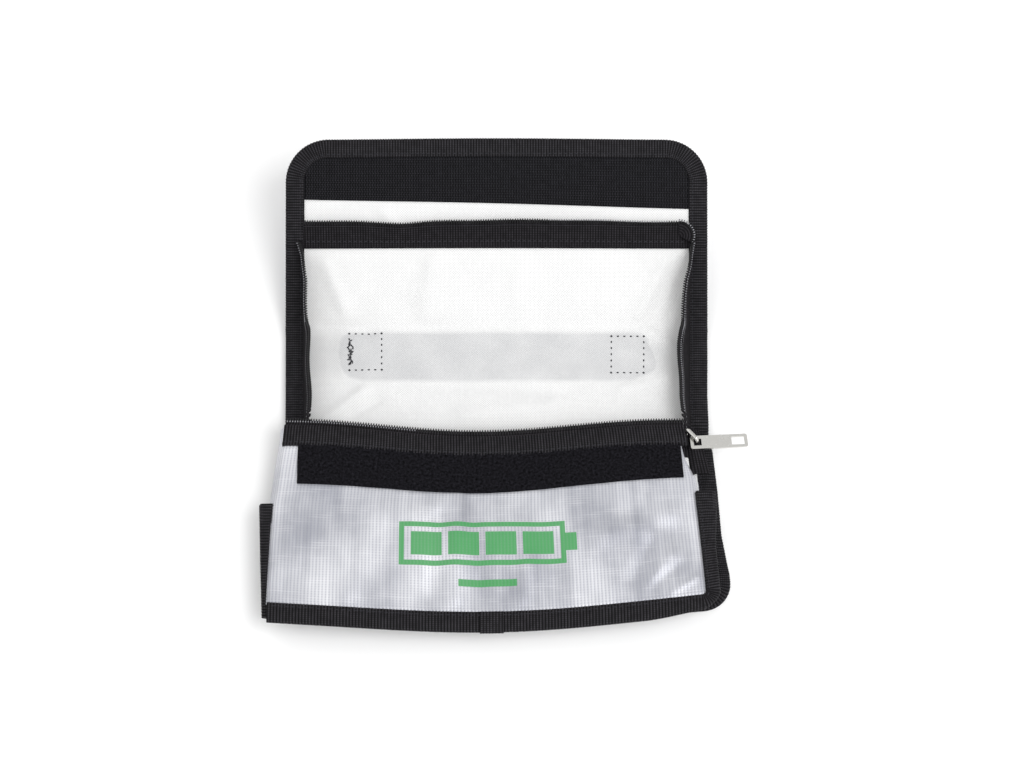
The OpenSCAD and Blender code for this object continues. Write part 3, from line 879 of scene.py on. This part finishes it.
def build_hooks():
    """The hook strip: a woven base that carries rows of small stiff hooks, painted lighter than the base as
    a painted highlight on their tops.
    """
    x, share = grid(-PANEL_HALF, PANEL_HALF, 0.0, 1.0, 2.0, 0.05)
    base = slab("hook_base", hook_place, x, share, LINING_N, LINING_N + 0.6, HOOK)
    scale_uv(base, 1.0, HOOK_W)
    fasten(base, "flap", "hook_strip")
    rows = np.arange(0.045, 0.97, 0.052)
    columns = np.arange(-PANEL_HALF + 1.2, PANEL_HALF - 1.0, 1.3)
    share, x = np.meshgrid(rows, columns, indexing="ij")
    x = x + 0.65 * (np.arange(len(rows)) % 2)[:, None]
    beads("hook_pile", "flap", hook_place, (x.ravel(), share.ravel(), LINING_N + 0.75), ACROSS,
          (0.30, 0.24, 0.42), HOOK_LIT, rings=2, sides=5)


# The turn of the zip at the right-hand corner: where it starts, its centre and its radius
TURN_X, TURN_H, TURN_R = 89.8, 5.2, 7.1


def flap_tape_place(x, h, n):
    """The top-run zip tape: h away from the fold seam; its free edge stands a little proud."""
    x, h, n = spread(x, h, n)
    turned = np.clip(x - TURN_X, 0, TURN_R)
    h = h * (TURN_H + np.sqrt(TURN_R ** 2 - turned ** 2)) / (TURN_H + TURN_R)
    share = np.clip(h / 12, 0, 1.3)
    wander = (0.35 * np.sin(x / 23 + 0.6) + 0.12 * np.sin(x / 6.5)) * share
    lift = LINING_N + 0.35 + 2.3 * share ** 1.6 + 0.4 * np.sin(x / 21 + 1.0) * share
    pull = 0.9 * np.exp(-((x + 47) / 12) ** 2) * share
    return bed(x, SEAM_S + h + wander - pull, n + lift)


def build_flap_zip():
    left, right, edge = -PANEL_HALF, PANEL_HALF + 1.2, 12.3
    x, h = grid(left, right, -0.8, edge, 1.0, 1.2)
    fasten(slab("flap_zip_cloth", flap_tape_place, x, h, 0.0, 0.45, TAPE), "flap", "flap_zip_tape")
    marks = np.arange(left + 1, TURN_X, TOOTH_PITCH)
    beads("flap_zip_teeth", "flap", flap_tape_place, (marks, edge - 0.4, 0.55), (0.12, 1.0),
          (1.2, 0.40, 0.6), COIL, "flap_zip_coil")
    sewn = np.arange(left + 2, right - 2, STITCH_PITCH)
    for name, centres, sizes in (("cord", (marks, edge - 2.3, 0.5), (0.5, 0.16, 0.13)),
                                 ("seam", (sewn, 2.6, 0.48), (0.95, 0.2, 0.14))):
        beads(f"flap_zip_{name}", "flap", flap_tape_place, centres, ACROSS, sizes, THREAD)
    lit = marks[(marks > 25) & (marks < 84)]
    glints("flap_zip_glints", "flap", flap_tape_place, (lit, edge + 0.2, 0.95), (0.1, 1.0))
    build_zip_corner()


def corner_place(distance, angle, n):
    """At the turn of the zip: distance from its centre, angle from the flap run towards the side run."""
    distance, angle, n = spread(distance, angle, n)
    x = TURN_X + distance * np.sin(angle)
    s = SEAM_S + TURN_H + 0.2 + distance * np.cos(angle)
    return bed(x, s, n + LINING_N + 1.4 + 0.22 * distance)


def build_zip_corner():
    """The zip turns the right-hand corner of the opening in a small flat curve on top of the binding."""
    distance, angle = grid(0.0, TURN_R, 0.0, 2.1, 0.8, 0.1)
    cloth = slab("corner_zip_cloth", corner_place, distance, angle, 0.0, 0.45, TAPE)
    scale_uv(cloth, 1.0, TURN_R)
    fasten(orient(cloth), "flap")
    marks = np.arange(0.0, 2.15, TOOTH_PITCH / TURN_R)
    beads("corner_zip_teeth", "flap", corner_place, (TURN_R, marks, 0.5), ACROSS, (1.0, 0.40, 0.6), COIL)
    glints("corner_zip_glints", "flap", corner_place, (TURN_R + 0.2, marks, 1.0), ACROSS)


# ---- front

# Folds of the front, in the same form as the lid's
FRONT_FOLDS = ((77, 2, 90, 9, 1.4, 0.7), (70, 6, 84, 16, 3, -0.7), (62, 8, 72, 29, 4.2, -1),
               (68, 6, 80, 24, 4, 0.8), (-14, 2, -12, 50, 4, 0.9), (-24, 0, -20, 44, 4, -0.8),
               (-2, 0, -6, 52, 3.5, -0.6), (14, 0, 18, 24, 3.5, 0.8), (30, 6, 24, 52, 6, -0.7),
               (-60, 4, -44, 48, 6, 0.9), (-78, 10, -66, 50, 5, -0.7), (46, 30, 84, 42, 5, 0.8),
               (60, 44, 86, 30, 5, -0.6), (-90, 6, -84, 44, 3, 0.6), (-34, 40, -10, 54, 4, 0.7))


def front_wave(x, t):
    """How far the front cloth stands off its flat shape: folds and loose waves, calmer at its edges."""
    x, t = spread(x, t)
    loose = 0.5 * ripple(x, t, 26, 2.2) + 0.22 * ripple(x, t * 0.4, 8, 4.2)
    folds = sum(fold(x, t, *numbers) for numbers in FRONT_FOLDS)
    free = smooth(t, 0, 6) * (1 - smooth(t, 54, 72))
    return (loose + folds) * (0.25 + 0.75 * free)


def front_waved(x, t, n):
    """The front's outer cloth: waved, ribbed, turned down over its sides and tucked in at the top right."""
    x, t, n = spread(x, t, n)
    tuck = 0.85 * smooth(t, 56, 74) * np.maximum(x - 88.5, 0)
    over = np.maximum(np.abs(x) - (FRONT_HALF - 1.5), 0)
    rib = 0.035 * np.cos(2 * math.pi * x / SILVER_PITCH) * (n > 1.0)
    drop = 0.28 * over ** 1.5 + 0.25 * tuck
    return front(x - tuck - np.sign(x) * 0.35 * over, t, n + front_wave(x, t) + rib - drop)


def left_strip(off, t, n):
    """The left side binding, which stays flat under the edge of the silver cloth."""
    off, t, n = spread(off, t, n)
    points = front(-FRONT_HALF, t, n - 2.2)
    points[..., 0] = np.interp(t, (-9, 46), (-92.8, -98.4)) - off
    return points


def front_inner(x, t, n):
    """The front's lining, which follows its cloth."""
    return front(x, t, n + front_wave(x, t))


def build_front():
    reach = FRONT_HALF + 4.0
    x, t = grid(-reach, reach, -0.5, FRONT_H - 1, SILVER_PITCH / 4, 1.6)
    fasten(slab("front_cloth", front_waved, x, t, 0.5, LINING_N, SILVER_PRINT), "front", "front_outer")
    x, t = grid(-FRONT_HALF + 4, FRONT_HALF - 4, 0, FRONT_H - 1, 1.5, 1.6)
    fasten(slab("front_inner", front_inner, x, t, -0.6, -0.2, LINING), "front", "front_lining")
    build_front_bindings()
    build_loop_strip()
    build_mouth()


def build_front_bindings():
    """One binding along the right and the bottom, a flat one on the left, the sleeve over the join at the
    middle of the bottom, and the folded-in ends at the top of the sides."""
    corner_r = 2.2
    right = u_path(FRONT_HALF, 51, 0, corner_r)
    keep = right[0] > -FRONT_HALF + corner_r + 0.1
    across = np.arange(-FRONT_HALF + corner_r, -FRONT_HALF + 0.2, -RIB_STEP)
    bottom = spread(across, 0, 0, -1)
    path = tuple(np.concatenate([a[keep], b]) for a, b in zip(right, bottom))
    fasten(tape("front_edge", front, path, -0.6, 1.9), "front", "front_binding")
    stitch_row("front_edge_stitches", "front", front, path, 1.85)
    left = spread(0, np.arange(-6.0, 46.0, RIB_STEP), 1, 0)
    fasten(tape("front_edge_left", left_strip, left, -0.6, 1.9), "front")
    join = spread(np.arange(-3.0, 7.0, RIB_STEP), 0, 0, -1)
    fasten(tape("front_edge_join", front, join, -0.9, 2.2, BINDING_W + 0.4, 0.6), "front")
    end = spread(FRONT_HALF, np.arange(42.0, 51.6, RIB_STEP), 1, 0)
    fasten(tape("front_edge_end_right", front, end, -0.9, 2.25, BINDING_W - 0.6), "front")
    end = spread(0, np.arange(37.5, 46.5, RIB_STEP), 1, 0)
    fasten(tape("front_edge_end_left", left_strip, end, -0.9, 2.2, BINDING_W - 0.3), "front")


def build_loop_strip():
    """The soft fastening strip, fuzzy on top; it sags at its middle and rises at its lower right."""
    top, bottom = FRONT_H - 10.4, FRONT_H - 28.7
    half = cad("loop_strip")[1][0]
    x, t = grid(-half + 1.8, half + 0.2, bottom, top + 0.5, 0.7, 0.7)
    fuzz = 0.30 * ripple(x, t, 0.9, 8.0) + 0.22 * ripple(x, t, 2.6, 1.0)

    def place(x, t, n):
        low = 1 - (t - bottom) / 18.8
        sag = 1.6 * np.exp(-((x + 6) / 40) ** 2) * (1 - (t - bottom) / 19)
        sag = sag - 2.8 * low * np.clip(x / 88, 0, 1) ** 1.5
        pile = fuzz if n > LINING_N else 0
        x = x + (0.6 + 2.1 * low) * smooth(-x, 50, 87)
        return front(x, t - sag, n + front_wave(x, t) * 0.8 + pile)

    strip = slab("loop_pile_strip", place, x, t, LINING_N - 0.4, LINING_N + 1.15, LOOP)
    fasten(strip, "front", "loop_strip")


def build_mouth():
    """The band round the mouth, and the zip tape and teeth that look out above it."""
    left, right = -FRONT_HALF + 0.2, FRONT_HALF - 1.2
    path = spread(np.arange(left, right, RIB_STEP), FRONT_H - 10.6, 0, 1)
    fasten(tape("mouth_edge", front, path, -0.9, 2.35, 10.4), "front", "mouth_binding")
    stitch_row("mouth_edge_stitches", "front", front, path, 2.25)
    x, t = grid(left + 0.6, right - 0.6, FRONT_H - 4, FRONT_H + 2.1, 2, 1)
    fasten(slab("mouth_zip_cloth", front, x, t, 0.5, 1.6, TAPE), "front", "front_zip_tape")
    marks = np.arange(left + 1.2, right - 1, TOOTH_PITCH)
    beads("mouth_zip_teeth", "front", front, (marks, FRONT_H + 1.9, 1.3), (0.12, 1.0),
          (1.35, 0.40, 0.75), COIL, "front_zip_coil")
    glints("mouth_zip_glints", "front", front, (marks[marks < -32], FRONT_H + 1.2, 2.1), (0.1, 1.0))


# ---- gussets

def build_layers(body, sheet, a, b, uv_scale):
    """Silver cloth and lining of one gusset half."""
    for kind, low, high, material, node in (("cloth", 0.5, 1.15, SILVER, "outer"),
                                            ("inner", 0.0, 0.5, LINING, "lining")):
        layer = slab(f"{body}_{kind}", sheet, a, b, low, high, material)
        scale_uv(layer, *uv_scale)
        fasten(orient(layer), body, f"{body}_{node}")


def build_side_gusset(side, up, body):
    """One half of a side gusset, from the bottom seam to the mouth; share runs from 0 to 1 between them."""
    mouth = FRONT_HIGH[1] - 2.5
    seam_z = joint_at("right_seam")[2] if up > 0 else TOP_SEAM_Z

    def sheet(u, share, n):
        u, share, n = spread(u, share, n)
        low = SEAM_Y + 1 + u
        y = low + (mouth - low) * share
        sway = 0.5 * ripple(u, y, 18, 2.0 * up + side) * smooth(u, 0, 8) * smooth(-u, -GUSSET_W, -38)
        inward, rise = tilted(u, n + 0.25 + sway)
        return np.stack([side * (SEAM_HALF - inward), y, seam_z + up * rise], -1)

    u, share = grid(0, GUSSET_W, 0, 1, 1.5, 1 / 40)
    build_layers(body, sheet, u, share, (1.0, 70.0))
    build_gusset_zip(body, sheet)


def build_gusset_zip(body, sheet):
    """Zip tape folded over the mouth edge of a gusset half, with its coil."""
    u, share = grid(1.5, GUSSET_W - 1.5, 0.86, 1.006, 1.5, 0.02)
    cloth = slab(f"{body}_zip_cloth", sheet, u, share, -0.45, 1.35, TAPE)
    fasten(orient(cloth), body, f"{body}_tape")
    marks = np.arange(2.2, GUSSET_W - 2.2, TOOTH_PITCH)
    beads(f"{body}_zip_teeth", body, sheet, (marks, 1.012, 0.5), ACROSS, (0.38, 0.7, 1.0), COIL,
          f"{body}_coil")


def build_bottom_gusset(up, depth, body):
    """One half of the bottom gusset; share runs from -1 to 1 across it, and it narrows with its depth. The
    upper half (up is -1) sags with the front's bottom edge."""
    seam = joint_at("body_expand" if up > 0 else "front_seam")
    taper = 43.0 / (depth + 1)

    def sheet(share, u, n):
        share, u, n = spread(share, u, n)
        x = share * (SEAM_HALF - 0.5 - taper * u)
        sway = 0.6 * ripple(x, u, 24, 3.0 * up) * smooth(u, 0, 8) * smooth(-u, -depth, 8 - depth)
        sag = (up < 0) * smooth(-u, -45, 0) * bulge(x, 0, 92)
        inward, rise = tilted(u, n + 0.25 + sway)
        z = seam[2] + up * rise - 4.2 * sag - 0.3 * (up < 0)
        return np.stack([x, seam[1] + inward - 2.6 * sag, z], -1)

    share, u = grid(-1, 1, 0, depth, 1 / 60, 1.5)
    build_layers(body, sheet, share, u, (90.0, 1.0))


def build_gussets():
    for name, side in (("left", -1), ("right", 1)):
        build_side_gusset(side, 1, f"{name}_lower")
        build_side_gusset(side, -1, f"{name}_upper")
    build_bottom_gusset(1, 42.0, "bottom_lower")
    build_bottom_gusset(-1, 48.0, "bottom_upper")


# ---- zip pull

def shift(x, y, z):
    """A move in millimetres as a matrix."""
    return Matrix.Translation(Vector((x, y, z)) * MM)


def build_pull():
    """The nickel parts sit on the coil, which leans in at the hinge corner: the link is drawn up short and
    thick along its own length, the tab is turned, and the slider body is lower and nearer."""
    to_hook = shift(*joint_at("tab_tilt"))
    settle = shift(-11.7, -10.0, 3.4)
    along_link = Matrix.Rotation(math.radians(-50), 4, "Z")
    short = along_link @ Matrix.Diagonal((0.7, 1.25, 1.25, 1)) @ along_link.inverted()
    turned = Matrix.Rotation(math.radians(3), 4, "Z") @ Matrix.Diagonal((1.06, 1, 1, 1))
    nearer = shift(1.5, -5.8, -4.0)
    for node, name, body, move, finish in (
            ("slider_body", "zip_slider", "slider", nearer, SLIDER_DARK),
            ("pull_link", "zip_link", "pull_link", to_hook @ short @ to_hook.inverted(), NICKEL),
            ("pull_tab", "zip_tab", "pull_tab", to_hook @ turned @ to_hook.inverted(), NICKEL)):
        mesh = frame["nodes"][node].data.copy()
        mesh.transform(settle @ move)
        obj = bpy.data.objects.new(name, mesh)
        bpy.context.scene.collection.objects.link(obj)
        mesh.materials.clear()
        mesh.materials.append(finish)
        bevel = obj.modifiers.new("rounding", "BEVEL")
        bevel.width = 0.22 * MM
        bevel.segments = 3
        bevel.limit_method = "ANGLE"
        bevel.angle_limit = math.radians(50)
        fasten(obj, body, node)


def tail_place(w, down, n):
    """On the loose end of the zip tape: w across it, down from the mouth; its left side curls down."""
    w, down, n = spread(w, down, n)
    x = 87.6 + w * (0.85 + 0.01 * down) + 0.09 * down
    y = FRONT_HIGH[1] + 1.0 - down
    z = TOP_SEAM_Z + 1.3 - 0.22 * np.maximum(3.5 - w, 0) ** 2 + 0.15 * np.sin(down / 3) + n
    return np.stack([x, y, z], -1)


def build_tape_tail():
    """The square-cut end of the zip tape lies over the right side below the slider."""
    w, down = grid(0, 8.0, 0, 22.5, 0.8, 0.8)
    fasten(orient(slab("zip_tail", tail_place, w, down, 0.0, 0.6, TAPE)), "front")


build_back()
build_lid()
build_side_zips()
build_handle()
build_flap()
build_front()
build_gussets()
build_pull()
build_tape_tail()


# ---- floor, light and camera

def build_stage():
    """A pale floor under the bag and a soft sky."""
    bpy.ops.mesh.primitive_plane_add(size=12, location=(0, 0, -0.0004))
    floor = bpy.context.object
    floor.name = "floor"
    mat = bpy.data.materials.new("pale_floor")
    mat.use_nodes = True
    shader = mat.node_tree.nodes["Principled BSDF"]
    shader.inputs["Base Color"].default_value = (0.94, 0.94, 0.94, 1)
    shader.inputs["Roughness"].default_value = 0.85
    floor.data.materials.append(mat)
    world = bpy.data.worlds.new("studio")
    bpy.context.scene.world = world
    world.use_nodes = True
    build_sky(world.node_tree)


def build_sky(tree):
    """Soft white surroundings, dimmer behind the bag and in broad bands across."""
    coords = add_node(tree, "TexCoord").outputs["Generated"]
    split = add_node(tree, "SeparateXYZ", Vector=coords)
    x, y = split.outputs[0], split.outputs[1]
    back = calc(tree, "MULTIPLY_ADD", y, -0.34, 0.86)
    swing = calc(tree, "SINE", calc(tree, "MULTIPLY_ADD", x, 8.0, 0.6))
    bands = calc(tree, "MULTIPLY_ADD", swing, 0.16, 0.9)
    sky = tree.nodes["Background"]
    feed(tree, sky.inputs["Strength"], calc(tree, "MULTIPLY", back, bands))
    feed(tree, sky.inputs["Color"], (1, 1, 1))


def add_area(name, place, size, power):
    """A rectangular lamp, in metres and watts, that points at the bag."""
    data = bpy.data.lights.new(name, "AREA")
    data.shape = "RECTANGLE"
    data.size, data.size_y = size
    data.energy = power
    lamp = bpy.data.objects.new(name, data)
    lamp.location = place
    lamp.rotation_euler = (Vector((0, 0.05, 0)) - Vector(place)).to_track_quat("-Z", "Y").to_euler()
    bpy.context.scene.collection.objects.link(lamp)


def build_camera():
    """Looks down at the bag at 62 degrees from about 0.7 m."""
    target = Vector((7.6, HINGE_Y + 25.2, 4.0)) * MM
    elevation = math.radians(62)
    distance = 713.6 * MM
    camera_data = bpy.data.cameras.new("view")
    camera_data.sensor_width = 36.0
    camera_data.lens = 52.0664
    camera_data.clip_start = 0.05
    camera = bpy.data.objects.new("view", camera_data)
    camera.location = target + distance * Vector((0, -math.cos(elevation), math.sin(elevation)))
    camera.rotation_euler = (math.pi / 2 - elevation, 0, 0)
    bpy.context.scene.collection.objects.link(camera)
    bpy.context.scene.camera = camera


build_stage()
add_area("key", (0.55, -0.35, 1.0), (0.8, 0.6), 8)
add_area("fill", (-0.5, 0.7, 0.9), (0.9, 0.9), 2.5)
build_camera()
bpy.context.scene.view_settings.view_transform = "Standard"
